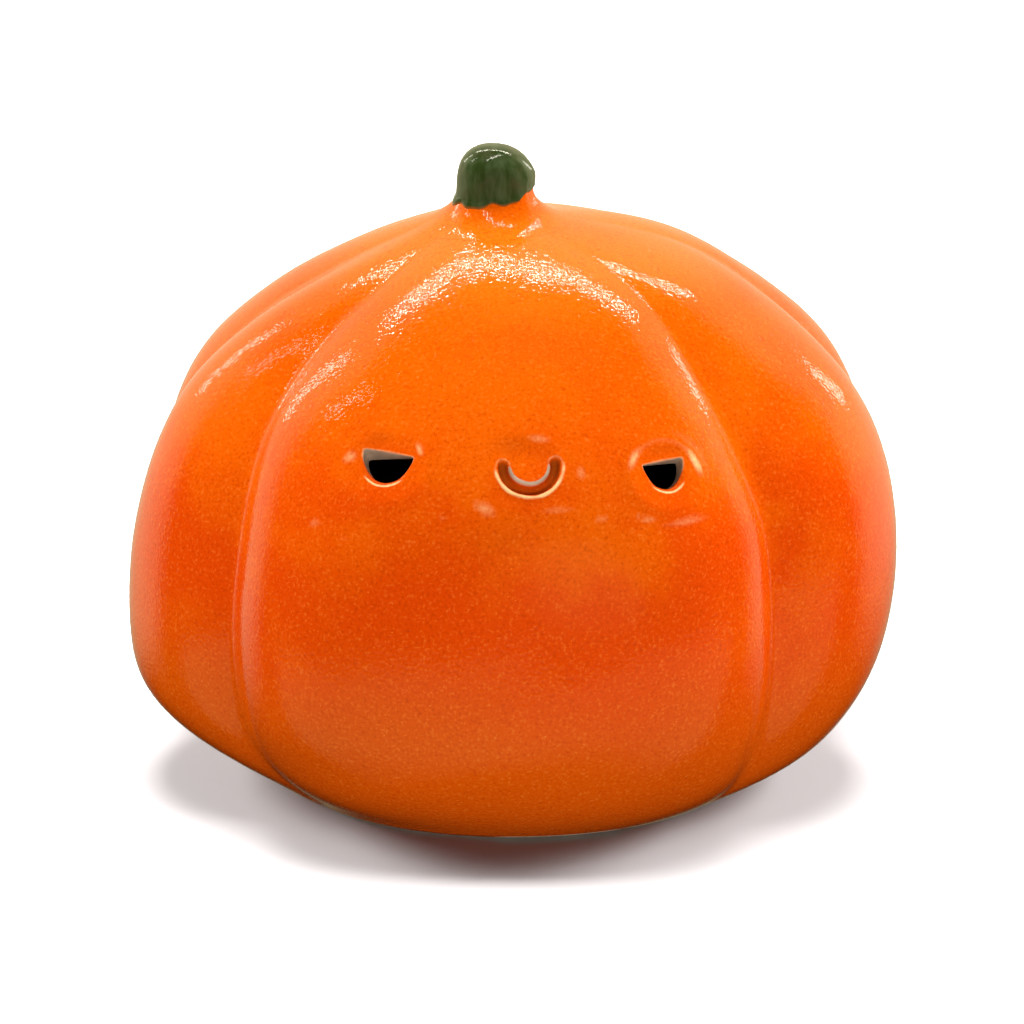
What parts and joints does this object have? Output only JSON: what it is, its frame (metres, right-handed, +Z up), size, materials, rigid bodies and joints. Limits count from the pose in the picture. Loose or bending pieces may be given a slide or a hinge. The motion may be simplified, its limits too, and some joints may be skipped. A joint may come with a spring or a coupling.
{
  "type": "ceramic pumpkin figure",
  "caption": "Small hollow ceramic pumpkin with rounded ribs, a pressed smiling face, pierced half-moon eyes and a short green stem on a flat foot.",
  "frame": {"origin": "centre of the flat foot, on the plane that the pumpkin stands on", "axes": "+Z up through the stem, -Y the way the face looks, +X to the right of someone facing the face"},
  "size_m": [0.1003, 0.1003, 0.0831],
  "materials": {
    "orange_glaze": "glossy orange glaze with fine pits and darker mottling",
    "green_glaze": "glossy dark olive green glaze",
    "bare_clay": "matt unglazed pale stoneware"
  },
  "bodies": {
    "root": {"pumpkin_shell": "orange_glaze", "base_disc": "bare_clay", "base_seam_coil": "bare_clay", "stem_collar": "orange_glaze", "stem": "green_glaze"}
  },
  "joints": []
}
